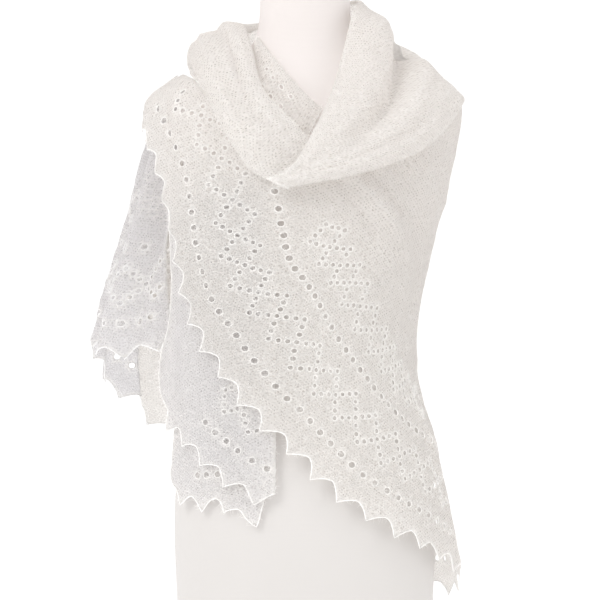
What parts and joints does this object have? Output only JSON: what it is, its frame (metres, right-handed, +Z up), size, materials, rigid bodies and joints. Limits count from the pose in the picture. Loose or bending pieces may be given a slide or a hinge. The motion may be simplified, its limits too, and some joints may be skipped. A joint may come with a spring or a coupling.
{
  "type": "lace shawl on dress form",
  "caption": "Knitted ivory lace shawl with a pointed edging, wound round a limbless dress form with one end thrown over the shoulder.",
  "frame": {"origin": "middle of the dress form's flat base", "axes": "+Z up, the front of the shawl faces -Y, +X to the right as seen from the front"},
  "size_m": [0.4964, 0.3447, 0.934],
  "materials": {
    "lace": "fine brushed mohair lace, ivory, soft halo",
    "form_cover": "smooth stretched jersey cover, cream white"
  },
  "bodies": {
    "root": {"dress_form": "form_cover", "front_wrap": "lace", "back_wrap": "lace", "left_drape": "lace", "thrown_end": "lace", "under_end_upper": "lace", "under_end_lower": "lace", "cowl_right": "lace", "collar_back": "lace", "cowl_left": "lace", "cowl_inner": "lace"}
  },
  "joints": []
}
